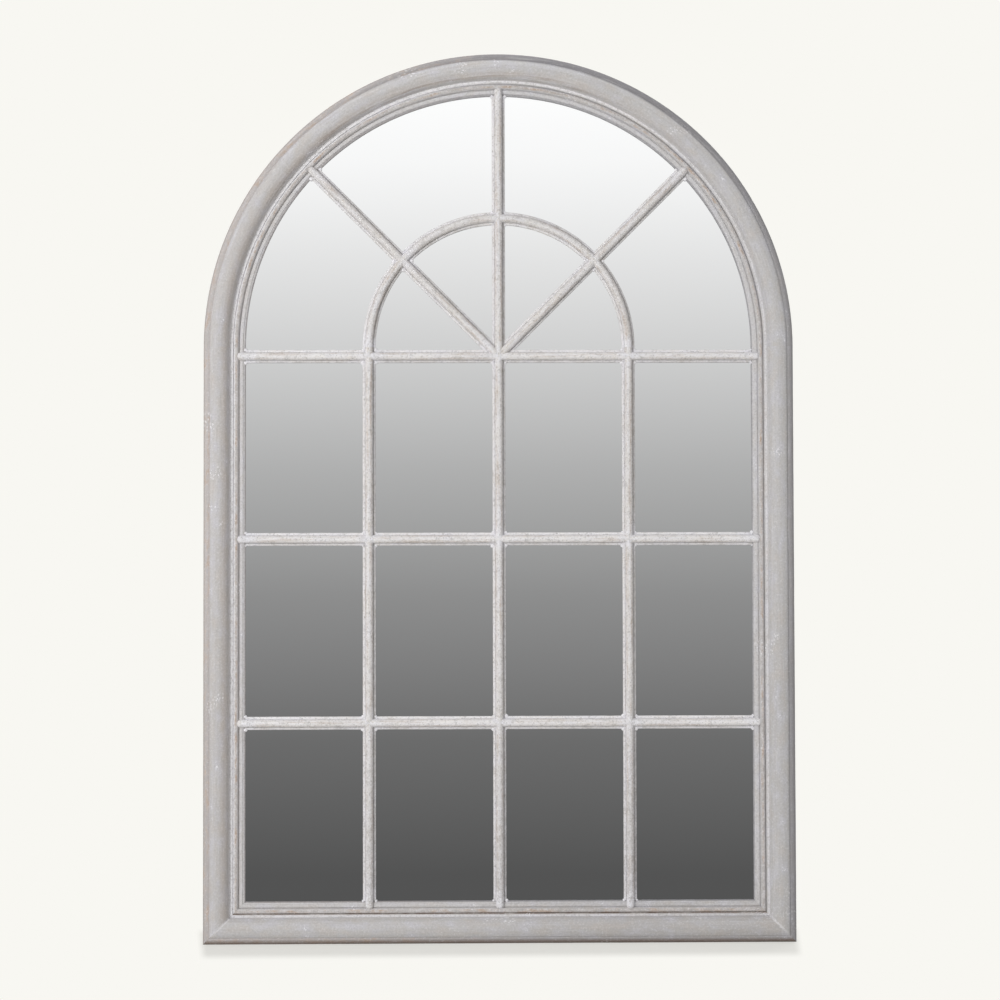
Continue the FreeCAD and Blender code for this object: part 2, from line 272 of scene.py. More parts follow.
# Colours of the chalky paint and of the bare wood
paint = {
    "body": tint(195, 193, 193),
    "barTone": tint(225, 222, 218),
    "crossTone": tint(240, 237, 235),
    "light": tint(222, 220, 222),
    "dull": tint(164, 161, 160),
    "lavender": tint(203, 203, 217),
    "beige": tint(196, 181, 168),
    "tan": tint(178, 154, 134),
    "taupe": tint(156, 139, 130),
    "barStreak": tint(186, 169, 155),
    "brown": tint(118, 98, 82),
    # the glaze colour, also laid as painted shade beside the glass and at the bars' foot
    "glazeAndPaintedShade": tint(122, 120, 124),
    "mauve": tint(184, 171, 170),
    "fleck": tint(245, 244, 247),
    "caked": tint(234, 233, 239),
    "rawWood": tint(196, 168, 128),
    "rawGrain": tint(160, 128, 90),
}
# Noise in the paint: lumps per metre across and along the member, detail and roughness
patterns = {
    "chalk": (330, 300, 3.0, 0.75),
    "crumb": (430, 370, 2.0, 0.6),
    "streak": (330, 14, 4.0, 0.6),
    "patch": (60, 30, 3.0, 0.55),
    "broad": (9, 7, 2.0, 0.55),
    "ragged": (280, 90, 4.0, 0.75),
    "brush": (240, 11, 3.0, 0.6),
    "blotch": (150, 100, 2.0, 0.6),
    "crowd": (20, 13, 1.0, 0.55),
}
chipPitch = (300, 170)  # chips per metre across and along


def paintedWood(sketch, across, along, depth, marks):
    # chalky paint dry-brushed along a member; each mark is 0 to 1 by the place in the section
    noise = {}
    for name, (wide, long, detail, rough) in patterns.items():
        place = sketch.vector(across * wide, along * long, depth * wide)
        noise[name] = sketch.noise(place, 1.0, detail, rough)
    chalk, crumb, streak, patch = (noise[name] for name in ("chalk", "crumb", "streak", "patch"))
    ragged, brush, blotch = (noise[name] for name in ("ragged", "brush", "blotch"))
    bareGrain = 1 - marks["glazeAndPaintedShade"] * 0.8  # the glaze and the painted shade fill the chalky grain
    # brown dirt, and the painted shadow lines that the members lay in the same brown
    dirtAndShadow = marks["dirtAndShadow"] * (ragged * 0.5 + patch * 0.6).ramp(0.4, 0.6)
    caked = marks["joint"] * (ragged * 0.6 + patch * 0.6).ramp(0.48, 0.66)
    fleck = crumb.ramp(0.55, 0.62) * (patch.ramp(0.63, 0.73) + marks["joint"] * 0.9).least(1.0) * bareGrain
    crowded = noise["crowd"].ramp(0.66, 0.71) * marks["chips"] * bareGrain
    wide, long = chipPitch
    spots = {"Vector": sketch.vector(across * wide, along * long, depth * wide), "Scale": 1.0}
    spot = sketch.node("ShaderNodeTexVoronoi", {"feature": "F1"}, spots, "Distance") + chalk * 0.4
    pit = spot.ramp(0.4, 0.3) * crowded
    grain = marks["grain"]
    # each layer is its share and its colour, laid over the ones before it
    layers = [
        (patch.ramp(0.45, 0.7) * 0.3, paint["lavender"]),
        (patch.ramp(0.5, 0.3) * 0.2, paint["beige"]),
        (marks["mauve"] * streak.ramp(0.3, 0.6) * 0.8, paint["mauve"]),
        (marks["streaks"] * brush.ramp(0.5, 0.66) * 0.75, marks["streakTone"]),
        (marks["streaks"] * brush.ramp(0.46, 0.34) * 0.45, paint["light"]),
        # glaze, and painted shade laid in the glaze colour
        (marks["glazeAndPaintedShade"] * (ragged.ramp(0.2, 0.5) * 0.3 + 0.7), paint["glazeAndPaintedShade"]),
        (streak.ramp(0.52, 0.72) * 0.22, paint["light"]),
        (streak.ramp(0.48, 0.3) * 0.22, paint["dull"]),
        (marks["rub"] * (ragged * 0.6 + patch * 0.6).ramp(0.52, 0.72) * 0.8, paint["beige"]),
        (marks["rub"] * (ragged * 0.5 + patch * 0.8).ramp(0.7, 0.82) * 0.9, paint["tan"]),
        (dirtAndShadow * 0.85, paint["brown"]),
        (marks["grime"], paint["brown"]),
        (marks["highlight"] * (ragged * 0.6 + chalk * 0.3).ramp(0.26, 0.52) * 0.85, paint["fleck"]),
        (caked * 0.85, paint["caked"]),
        (blotch.ramp(0.5, 0.64) * grain * 0.45, paint["light"]),
        (blotch.ramp(0.48, 0.34) * grain * 0.35, paint["dull"]),
        (chalk.ramp(0.52, 0.68) * bareGrain * (grain * 0.35 + 0.4), paint["light"]),
        (chalk.ramp(0.48, 0.34) * bareGrain * (grain * 0.3 + 0.32), paint["dull"]),
        (fleck * 0.9, paint["fleck"]),
        (spot.ramp(0.56, 0.46) * crowded * 0.7, paint["fleck"]),
        (pit * 0.8, paint["brown"]),
        (marks["back"], sketch.blend(streak.ramp(0.35, 0.65), paint["rawGrain"], paint["rawWood"])),
    ]
    colour = sketch.blend(noise["broad"].ramp(0.35, 0.65) * 0.2 + 0.8, paint["body"], marks["tone"])
    for share, laid in layers:
        colour = sketch.blend(share, colour, laid)
    height = streak * 0.3 + chalk * 0.7 + fleck * 0.6 + caked * 0.5 + crumb * 0.2 - dirtAndShadow * 0.4 - pit * 0.8
    normal = sketch.node("ShaderNodeBump", {}, {"Strength": 0.75, "Distance": 0.0005, "Height": height})
    rough = chalk * 0.12 + 0.78 - dirtAndShadow * 0.1
    finishMaterial(sketch, {"Base Color": colour, "Roughness": rough, "Normal": normal})


# Where the marks lie on the moulding, as middle and reach in millimetres out from the sight edge
bands = {
    "quirkShadow": (10.5, 1.0),
    "beadRub": (15.5, 4.0),
    "beadStreaks": (15.5, 5.0),
    "beadGrain": (15.5, 6.0),
    "valleyDirt": (19.4, 1.0),
    "filletBrushed": (24.4, 3.8),
    # painted highlight on the fillet, on the lamp's side
    "filletLitSide": (22.0, 6.0),
    # painted shade on the inside slope
    "slopeShade": (30.5, 5.5),
    "slopeStreaks": (31.5, 8.0),
    "slopeWarm": (34.0, 10.0),
    "bandStreaks": (50.0, 12.0),
    "railRub": (18.6, 3.6),
    "railValley": (20.6, 2.6),
    "railQuiet": (20.4, 3.0),
}
# Marks that grow from the first to the second of two places, in the same millimetres
fades = {
    "nose": (57.0, 61.0),
    "glazeAndPaintedShade": (55.0, 60.5),
    "railGlazeAndShade": (55.0, 66.0),
    "sightShadowLine": (2.6, 1.2),
    "sightShadow": (2.2, 1.0),
    "stripBrushed": (12.5, 7.5),
    "outerGrime": (66.5, 69.5),
    "railGrime": (59.0, 69.0),
    "railNoseDirt": (61.0, 67.0),
    "ridgeStart": (22.0, 27.0),
    "ridgeEnd": (64.0, 42.0),
    "ridge": (4.0, 0.8),
    "mitreLine": (0.9, 0.2),
}
# Where the paint ends and the bare back begins, in metres along y
bareBack = (0.0145, 0.0155)


def memberMaterial(name, run):
    # run is "stile", "rail" or "arch"
    material, sketch = newMaterial(name)
    x, y, z = sketch.parts(sketch.spot())
    if run == "stile":
        out = abs(x) - sightX
        along = z + (x > 0) * 7.0
    elif run == "rail":
        out = sightFoot - z
        along = x + 3.0
    else:
        rise = z - springing
        out = (x * x + rise * rise) ** 0.5 - sightX
        along = rise.math("ARCTAN2", rise, x) * (sightX + 0.035)
    mm = out * 1000

    def band(part):
        return mm.near(*bands[part])

    def fade(part):
        return mm.ramp(*fades[part])

    litAndWorn = x.ramp(0.1, -0.3)  # the left half, on the lamp's side, takes painted highlight and painted shadow lines as well as rubbed paint
    high = z.ramp(springing + 0.05, springing + 0.42)  # up in the head
    rubbed = high * (1 - x.ramp(0.0, 0.3) * 0.75) * 0.85 + 0.15  # where brown shows through the strokes
    # shade is painted shade: the paint greys to the right, and lower down on the stiles
    if run == "rail":
        turn = 0.5
        warm = 0.04
        shade = x.ramp(-0.2, 0.3) * 0.4 + 0.1
        glazeAndPaintedShade = fade("railGlazeAndShade")
    else:
        turn = high * 0.3 + 0.5
        warm = band("slopeWarm") * x.ramp(0.5, -0.05) * 0.2 + x.ramp(-0.1, -0.45) * 0.06
        shade = z.ramp(0.85, 0.3) * 0.24 + x.ramp(-0.2, 0.3) * 0.1
        glazeAndPaintedShade = fade("glazeAndPaintedShade")
    # the glazed outer edge, with painted shade: darker to the right, away from the lamp, and towards the foot
    shoulderGlazeAndShade = x.ramp(-0.62, 0.12) * turn + z.ramp(0.7, 0.2) * 0.12 + 0.06
    # white paint dry-brushed on the fillet and strips, with a painted highlight: brighter on the left, lamp
    # side, dimmer to the right
    brushedAndLit = band("filletBrushed") * (1 - x.ramp(0.1, 0.45) * 0.4)
    brushedAndLit = brushedAndLit.most(band("filletLitSide") * litAndWorn * 2.2).most(fade("stripBrushed") * 0.3)
    nose = fade("nose")
    edge = mm - high * 1.8  # the painted shadow line beside the glass is wider up in the head, where the sight edge faces down
    # the paint tone with painted shade on the inside slope, to the right and lower down
    tone = sketch.blend((band("slopeShade") * 0.25).most(shade), paint["body"], paint["dull"])
    streaks = band("slopeStreaks").most(band("bandStreaks") * 0.3).most(band("beadStreaks") * 0.7)
    # painted shadow in the quirk behind the bead on the lamp's side, and dirt in the valley
    dirtAndShadow = (band("quirkShadow") * litAndWorn * 0.4).most(band("valleyDirt") * 0.2)
    marks = {
        "tone": sketch.blend(warm, tone, paint["tan"]),
        "mauve": nose * litAndWorn * 0.35,
        # glaze on the outer edge, and a painted shadow line along the glass
        "glazeAndPaintedShade": (glazeAndPaintedShade * shoulderGlazeAndShade).most(edge.ramp(*fades["sightShadowLine"]) * 0.9),
        "rub": band("beadRub").most(nose * litAndWorn * 0.6),
        "streaks": streaks * rubbed,
        "streakTone": paint["taupe"],
        # dirt, and a painted shadow beside the glass on the lamp's side
        "dirtAndShadow": dirtAndShadow.most(edge.ramp(*fades["sightShadow"]) * litAndWorn * 0.5),
        "highlight": brushedAndLit.least(1.0),
        "grain": band("beadGrain") * 0.8,
        "joint": 0.0,
        "chips": 1.0,
        "grime": fade("outerGrime") * litAndWorn * 0.3,
        "back": y.ramp(*bareBack),
    }
    if run == "rail":
        noseDirt = fade("railNoseDirt") * 0.5
        marks["dirtAndShadow"] = marks["dirtAndShadow"].most(noseDirt).most(band("railValley")).least(1.0)
        marks["grime"] = fade("railGrime") * 0.55
        marks["rub"] = marks["rub"].most(band("railRub") * 1.4).least(1.0)
        marks["highlight"] = marks["highlight"] * (1 - band("railQuiet")) * 0.6
    if run != "arch":
        mitre = abs(abs(x) - sightX + z - sightFoot) * 1000
        ridge = mitre.ramp(*fades["ridge"]) * fade("ridgeStart") * fade("ridgeEnd")
        marks["highlight"] = marks["highlight"].most(ridge * 0.6)
        marks["dirtAndShadow"] = marks["dirtAndShadow"].most(mitre.ramp(*fades["mitreLine"]) * 0.3)
    paintedWood(sketch, out, along, y, marks)
    return material


# The bars' paint, in millimetres from the middle of the bar unless it says metres
barMarks = {
    "crest": (3.0, 0.0),
    "rub": (4.5, 2.0),
    "mauve": (5.0, 3.0),
    "groove": (6.0, 0.8),
    "rim": (8.4, 3.2),
    "streaks": (9.0, 6.0),
    "jointReach": 0.03,  # metres
    "shadedSide": (0.0, 0.006),  # metres
    "shadedRimSide": (-0.004, 0.006),  # metres, across which the rims' painted highlight weakens
    "footShadowDepth": (0.005, 0.001),  # metres in front of the glass, over which the painted shadow at the bar's foot fades in
}
slant = 0.70711  # sine and cosine of the diagonals


def barMaterial(name, run, centre, joints):
    # run is "upright", "cross", "diagonal" or "arch"; joints are the places along it where others cross
    material, sketch = newMaterial(name)
    x, y, z = sketch.parts(sketch.spot())
    if run == "upright":
        across = x - centre
        along = z
        shaded = across
    elif run == "cross":
        across = z - centre
        along = x
        shaded = across * -1
    elif run == "diagonal":
        across = (x * centre - (z - hub)) * slant
        along = (x * centre + (z - hub)) * slant
        shaded = across * centre
    else:
        rise = z - springing
        across = (x * x + rise * rise) ** 0.5 - sideBarX
        along = rise.math("ARCTAN2", rise, x) * sideBarX
        shaded = across * x * 8
    mm = abs(across) * 1000
    joint = along.near(joints[0], barMarks["jointReach"])
    for place in joints[1:]:
        joint = joint.most(along.near(place, barMarks["jointReach"]))
    if run == "upright":
        low = z.ramp(0.5, 0.06)  # darker towards the foot
        tone = sketch.blend(low * (x.ramp(-0.3, 0.3) * 0.23 + 0.33), paint["barTone"], paint["glazeAndPaintedShade"])
        streaks = 1 - joint * 0.5 - low * 0.4
    else:
        tone = paint["crossTone"] if run == "cross" else paint["barTone"]
        streaks = (1 - joint * 0.5) * (0.75 if run == "cross" else 1.0)
    # painted shadow where the bar meets the glass, on its side away from the lamp
    deep, shallow = barMarks["footShadowDepth"]
    glazeAndPaintedShade = y.ramp(glassFront - deep, glassFront - shallow) * shaded.ramp(*barMarks["shadedSide"])
    # the painted highlight on the rims is weaker on the bar's side away from the lamp
    rim = 0.8 - shaded.ramp(*barMarks["shadedRimSide"]) * 0.65
    marks = {
        "tone": tone,
        "mauve": mm.near(*barMarks["mauve"]) * 0.25,
        "glazeAndPaintedShade": glazeAndPaintedShade * 0.75,
        "rub": mm.near(*barMarks["rub"]) * 0.5,
        "streaks": mm.ramp(*barMarks["streaks"]) * streaks,
        "streakTone": paint["barStreak"],
        "dirtAndShadow": mm.near(*barMarks["groove"]) * 0.1,
        "highlight": mm.near(*barMarks["rim"]) * rim + mm.ramp(*barMarks["crest"]) * 0.2,
        "grain": 0.9,
        "joint": joint * (0.45 if run == "diagonal" else 0.75) + 0.25,
        "chips": 0.6,
        "grime": 0.0,
        "back": 0.0,
    }
    paintedWood(sketch, across, along + centre * 7, y, marks)
    return material


# Sizes of the moulding in millimetres: out from the sight edge, and up from the back of the frame
moulding = {
    "width": 70.0,
    "backSteps": [(22.0, 0.0), (22.0, 6.0), (8.0, 6.0), (8.0, 12.0), (0.0, 12.0)],
    "strips": [(0.0, 15.4), (4.2, 15.4), (4.2, 17.0), (9.8, 17.0), (10.5, 15.4), (11.2, 17.0)],
    "beadEnd": (20.2, 17.0),
    "filletStart": (21.0, 20.0),
    "filletEnd": (26.2, 20.0),
    "bandTop": (46.0, 38.0),
    "bandEnd": (59.0, 34.0),
    "bandFall": 1.0,
    "noseStart": (59.0, 33.0),
    "noseBulge": 2.8,
    "noseEnd": (70.0, 26.0),
    "spacing": 1.2,
    "sideHeights": (20.0, 13.0, 6.0),
    "softEdge": 0.5,
    "ringPitch": 2.8,
    "wear": 0.24,
    "wearFine": 170.0,  # dents per metre
    "wearBroad": 22.0,
    "crispAngle": 32.0,  # degrees
}


def arcPoints(first, last, bulge, spacing):
    # points after first on the arc to last that stands out by bulge to the left
    across, up = last[0] - first[0], last[1] - first[1]
    chord = math.hypot(across, up)
    radius = (chord * chord / 4 + bulge * bulge) / (2 * bulge)
    half = 2 * math.atan(2 * bulge / chord)
    count = max(4, round(chord * (1 + abs(bulge) / chord) / spacing))
    points = []
    for number in range(1, count + 1):
        angle = half * (2 * number / count - 1)
        ahead = radius * math.sin(angle) / chord + 0.5
        aside = (radius * math.cos(angle) - radius + bulge) / chord
        points.append((first[0] + across * ahead - up * aside, first[1] + up * ahead + across * aside))
    return points


def quarterPoints(first, last, spacing):
    # points after first on the quarter of an ellipse that leaves it upright and reaches last level
    across, up = last[0] - first[0], last[1] - first[1]
    count = round(math.hypot(across, up) * 1.1 / spacing)
    turns = [math.pi / 2 * number / count for number in range(1, count + 1)]
    return [(last[0] - across * math.cos(turn), first[1] + up * math.sin(turn)) for turn in turns]


def softened(points, cut):
    # the closed ring with its corners rounded over
    ring = []
    for number, corner in enumerate(points):
        before = Vector(points[number - 1]) - Vector(corner)
        after = Vector(points[(number + 1) % len(points)]) - Vector(corner)
        if before.angle(after) > math.radians(150):
            ring.append(Vector(corner))
            continue
        start = Vector(corner) + before.normalized() * min(cut, before.length * 0.4)
        end = Vector(corner) + after.normalized() * min(cut, after.length * 0.4)
        ring += [start, (start + end + Vector(corner) * 2) / 4, end]
    return ring


def mouldingRing(sizes):
    spacing = sizes["spacing"]
    points = [(sizes["width"], 0.0)] + sizes["backSteps"] + sizes["strips"]
    beadHeight = (sizes["beadEnd"][0] - points[-1][0]) / 2
    points += arcPoints(points[-1], sizes["beadEnd"], beadHeight, spacing * 0.8)
    points += [sizes["filletStart"], sizes["filletEnd"]]
    points += quarterPoints(sizes["filletEnd"], sizes["bandTop"], spacing)
    points += arcPoints(sizes["bandTop"], sizes["bandEnd"], sizes["bandFall"], spacing)
    points.append(sizes["noseStart"])
    points += arcPoints(sizes["noseStart"], sizes["noseEnd"], sizes["noseBulge"], spacing)
    points += [(sizes["width"], height) for height in sizes["sideHeights"]]
    return [(point[0] / 1000, point[1] / 1000, 0.0) for point in softened(points, sizes["softEdge"])]


def memberTree(sizes):
    # sweeps the section along a straight or a round member, and wears its front a little
    sketch, given = newTree("mouldedMember", {
        "Origin": "Vector", "Outward": "Vector", "Run": "Vector", "Curved": "Bool", "Radius": "Float",
        "Start": "Float", "End": "Float", "Start mitre": "Float", "End mitre": "Float",
        "Steps": "Int", "Wear": "Float", "Paint": "Material"})
    keep, read = "GeometryNodeStoreNamedAttribute", "GeometryNodeInputNamedAttribute"
    section = sketch.node("GeometryNodeMeshToCurve", {}, {"Mesh": given["Geometry"]})
    spot = sketch.node("GeometryNodeInputPosition", {}, {})
    section = sketch.node(keep, {"data_type": "FLOAT_VECTOR", "domain": "POINT"},
                          {"Geometry": section, "Name": "sectionPlace", "Value": spot})
    path = sketch.node("GeometryNodeCurvePrimitiveLine", {}, {"Start": (0, 0, 0), "End": (0, 0, 1)})
    path = sketch.node("GeometryNodeResampleCurve", {}, {"Curve": path, "Count": given["Steps"]})
    factor = sketch.node("GeometryNodeSplineParameter", {}, {}, "Factor")
    path = sketch.node(keep, {"data_type": "FLOAT", "domain": "POINT"},
                       {"Geometry": path, "Name": "pathShare", "Value": factor})
    shape = sketch.node("GeometryNodeCurveToMesh", {},
                        {"Curve": path, "Profile Curve": section, "Fill Caps": True})
    place = sketch.node(read, {"data_type": "FLOAT_VECTOR"}, {"Name": "sectionPlace"})
    share = sketch.node(read, {"data_type": "FLOAT"}, {"Name": "pathShare"})
    out, up = sketch.parts(place)[:2]
    first = given["Start"] + given["Start mitre"] * out
    last = given["End"] + given["End mitre"] * out
    along = first + (last - first) * share
    straight = sketch.steer("SCALE", given["Outward"], scale=out)
    straight = sketch.steer("ADD", straight, sketch.steer("SCALE", given["Run"], scale=along))
    reach = given["Radius"] + out
    turned = sketch.vector(along.math("COSINE", along) * reach, 0.0, along.math("SINE", along) * reach)
    flatPlace = sketch.node("GeometryNodeSwitch", {"input_type": "VECTOR"},
                            {"Switch": given["Curved"], "False": straight, "True": turned})
    target = sketch.steer("ADD", given["Origin"], flatPlace)
    target = sketch.steer("SUBTRACT", target, sketch.vector(0.0, up, 0.0))
    shape = sketch.node("GeometryNodeSetPosition", {}, {"Geometry": shape, "Position": target})
    spot = sketch.node("GeometryNodeInputPosition", {}, {})
    fine = sketch.noise(spot, sizes["wearFine"], 2.0).ramp(0.5, 0.75)
    broad = sketch.noise(spot, sizes["wearBroad"], 1.0).ramp(0.35, 0.7)
    sink = (fine * 0.6 + broad * 0.4) * given["Wear"] * up.ramp(0.012, 0.015)
    normal = sketch.node("GeometryNodeInputNormal", {}, {})
    shape = sketch.node("GeometryNodeSetPosition", {},
                        {"Geometry": shape, "Offset": sketch.steer("SCALE", normal, scale=sink * -1)})
    return endTree(sketch, smoothed(sketch, shape, sizes["crispAngle"]), given["Paint"])


def smoothed(sketch, shape, angle):
    # smooth faces, with edges sharper than the angle left crisp
    shape = sketch.node("GeometryNodeSetShadeSmooth", {"domain": "FACE"},
                        {"Geometry": shape, "Shade Smooth": True})
    fold = sketch.node("GeometryNodeInputMeshEdgeAngle", {}, {})
    crisp = sketch.node("FunctionNodeCompare", {"data_type": "FLOAT", "operation": "GREATER_THAN"},
                        {0: fold, 1: math.radians(angle)})
    return sketch.node("GeometryNodeSetShadeSmooth", {"domain": "EDGE"},
                       {"Geometry": shape, "Selection": crisp, "Shade Smooth": False})


def makeMember(node, ring, tree, values):
    # one member of the frame in place of its CAD node
    mesh = bpy.data.meshes.new(node + "Section")
    mesh.from_pydata(ring, [(number, (number + 1) % len(ring)) for number in range(len(ring))], [])
    name = node.replace("_segment", "").replace("_", "-") + "-worn"
    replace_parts(grow(name, mesh, tree, values), node)


def makeMembers(sizes):
    ring = mouldingRing(sizes)
    tree = memberTree(sizes)
    width = sizes["width"] / 1000
    foot = (sightFoot, springing, -1.0, 0.0)
    straights = {
        "left_stile": ((-sightX, backPlane, 0), (-1, 0, 0), (0, 0, 1)) + foot,
        "right_stile": ((sightX, backPlane, 0), (1, 0, 0), (0, 0, 1)) + foot,
        "bottom_rail": ((0, backPlane, sightFoot), (0, 0, -1), (1, 0, 0), -sightX, sightX, -1.0, 1.0),
    }
    rounds = ("right_lower", "right_upper", "left_upper", "left_lower")
    turn = math.radians(45)
    made = {run: memberMaterial(run + "Paint", run) for run in ("stile", "rail", "arch")}
    for node, (origin, outward, run, start, end, startMitre, endMitre) in straights.items():
        steps = round((end - start + width) * 1000 / sizes["ringPitch"])
        facing = -Vector(outward).cross(run).y  # the left stile is swept inside out
        values = {"Origin": origin, "Outward": outward, "Run": run, "Start": start, "End": end,
                  "Start mitre": startMitre, "End mitre": endMitre, "Steps": steps,
                  "Wear": sizes["wear"] / 1000 * facing, "Paint": made[node.split("_")[1]]}
        makeMember(node, ring, tree, values)
    for place, name in enumerate(rounds):
        start = turn * place
        steps = round(turn * (sightX + width) * 1000 / sizes["ringPitch"])
        values = {"Origin": (0, backPlane, springing), "Curved": True, "Radius": sightX,
                  "Start": start, "End": start + turn, "Steps": steps,
                  "Wear": sizes["wear"] / 1000, "Paint": made["arch"]}
        makeMember("arch_segment_" + name, ring, tree, values)


makeMembers(moulding)
print("moulded members swept")

rowHeights = [sum(corner.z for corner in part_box(f"cross_bar_row{row}_pane1")) / 2 for row in (1, 2, 3)]
arches = [springing + sideBarX, springing + sightX]
for name, centre in (("left", -sideBarX), ("centre", 0.0), ("right", sideBarX)):
    joints = [sightFoot] + rowHeights + (arches if name == "centre" else [])
    dress(f"{name}_glazing_bar", barMaterial(f"{name}BarPaint", "upright", centre, joints))
for row, height in zip((1, 2, 3), rowHeights):
    joints = [-sightX, -sideBarX, 0.0, sideBarX, sightX]
    rowPaint = barMaterial(f"row{row}BarPaint", "cross", height, joints)
    for pane in (1, 2, 3, 4):
        dress(f"cross_bar_row{row}_pane{pane}", rowPaint)
dress("diagonal_bar_left", barMaterial("leftDiagonalPaint", "diagonal", -1.0, [0.03, sideBarX, sightX]))
dress("diagonal_bar_right", barMaterial("rightDiagonalPaint", "diagonal", 1.0, [0.03, sideBarX, sightX]))
crossings = [math.radians(turn) * sideBarX for turn in (0, 45, 90, 135, 180)]
innerArchPaint = barMaterial("innerArchPaint", "arch", 0.0, crossings)
for name in nodes:
    if name.startswith("inner_arch"):
        dress(name, innerArchPaint)
print("paint made")


# Dabs of filler in the inside corners of the grille, in millimetres
dabs = {
    "reach": 3.4,
    "height": 3.4,
    "standOff": 1.1,  # from the glass to the middle of a dab
    "lumps": 0.3,
    "least": 0.4,
    "most": 1.15,
    "seed": 7,
}


def dabTree():
    sketch, given = newTree("fillerDabs", {
        "Reach": "Float", "Height": "Float", "Lumps": "Float", "Least": "Float", "Most": "Float",
        "Seed": "Int", "Paint": "Material"})
    ball = sketch.node("GeometryNodeMeshIcoSphere", {}, {"Radius": 1.0, "Subdivisions": 3})
    spot = sketch.node("GeometryNodeInputPosition", {}, {})
    normal = sketch.node("GeometryNodeInputNormal", {}, {})
    lump = (sketch.noise(spot, 1.6, 2.0) - 0.5) * given["Lumps"] * 2
    ball = sketch.node("GeometryNodeSetPosition", {},
                       {"Geometry": ball, "Offset": sketch.steer("SCALE", normal, scale=lump)})
    ball = sketch.node("GeometryNodeSetShadeSmooth", {}, {"Geometry": ball, "Shade Smooth": True})
    random = "FunctionNodeRandomValue"
    values = {"Min": given["Least"], "Max": given["Most"], "Seed": given["Seed"]}
    swell = sketch.node(random, {"data_type": "FLOAT"}, values, 1)
    values = {"Min": 0.0, "Max": math.tau, "Seed": given["Seed"] + 1}
    spin = sketch.node(random, {"data_type": "FLOAT"}, values, 1)
    size = sketch.vector(given["Reach"] * swell, given["Height"], given["Reach"] * swell)
    shape = sketch.node("GeometryNodeInstanceOnPoints", {}, {
        "Points": given["Geometry"], "Instance": ball, "Scale": size,
        "Rotation": sketch.vector(0.0, spin, 0.0)})
    return endTree(sketch, shape, given["Paint"])


def onCircle(start, direction, centre, radius):
    # where a line in the x z plane leaves a circle
    offset = start - centre
    along = offset.dot(direction)
    return start + direction * (math.sqrt(along * along - offset.dot(offset) + radius * radius) - along)


def dabPlaces(standOff):
    places = []
    for side in (-barHalf, barHalf):
        for x in (-sideBarX, 0.0, sideBarX):
            places += [Vector((x + side, z + up)) for z in rowHeights for up in (-barHalf, barHalf)]
            places.append(Vector((x + side, sightFoot)))
        places += [Vector((edge, z + side)) for edge in (-sightX, sightX) for z in rowHeights]
        centre = Vector((0.0, springing))
        for lean in (-1, 0, 1):
            direction = Vector((lean, 1)).normalized()
            start = Vector((0.0, hub)) + Vector((direction.y, -direction.x)) * side
            for radius in (sightX, sideBarX - barHalf, sideBarX + barHalf):
                places.append(onCircle(start, direction, centre, radius))
    return [(place.x, glassFront - standOff, place.y) for place in places]


def makeDabs(sizes):
    material, sketch = newMaterial("fillerPaint")
    grit = sketch.noise(sketch.spot(), 600.0, 3.0, 0.6)
    colour = sketch.blend(grit.ramp(0.35, 0.65), tint(222, 220, 225), tint(250, 249, 252))
    normal = sketch.node("ShaderNodeBump", {}, {"Strength": 0.5, "Distance": 0.0003, "Height": grit})
    finishMaterial(sketch, {"Base Color": colour, "Roughness": grit * 0.1 + 0.8, "Normal": normal})
    values = {"Reach": sizes["reach"] / 1000, "Height": sizes["height"] / 1000, "Lumps": sizes["lumps"],
              "Least": sizes["least"], "Most": sizes["most"], "Seed": sizes["seed"], "Paint": material}
    spots = pointMesh("dabPlaces", dabPlaces(sizes["standOff"] / 1000))
    grow("filler-dabs", spots, dabTree(), values)


makeDabs(dabs)
print("corners filled")


# Pan-head screws, in millimetres
screws = {
    "head": 7.0,
    "height": 1.6,
    "shank": 3.0,
    "length": 10.0,
    "slot": 0.9,
    "slotReach": 4.2,
    "slotDepth": 1.0,
    "groupReach": 8.5,  # points nearer than this belong to one screw
    "domeFall": 0.42,  # how far the head falls to its rim, as a share of its height
    "domePower": 3.5,
    "crispAngle": 34.0,  # degrees
    "seed": 3,
}


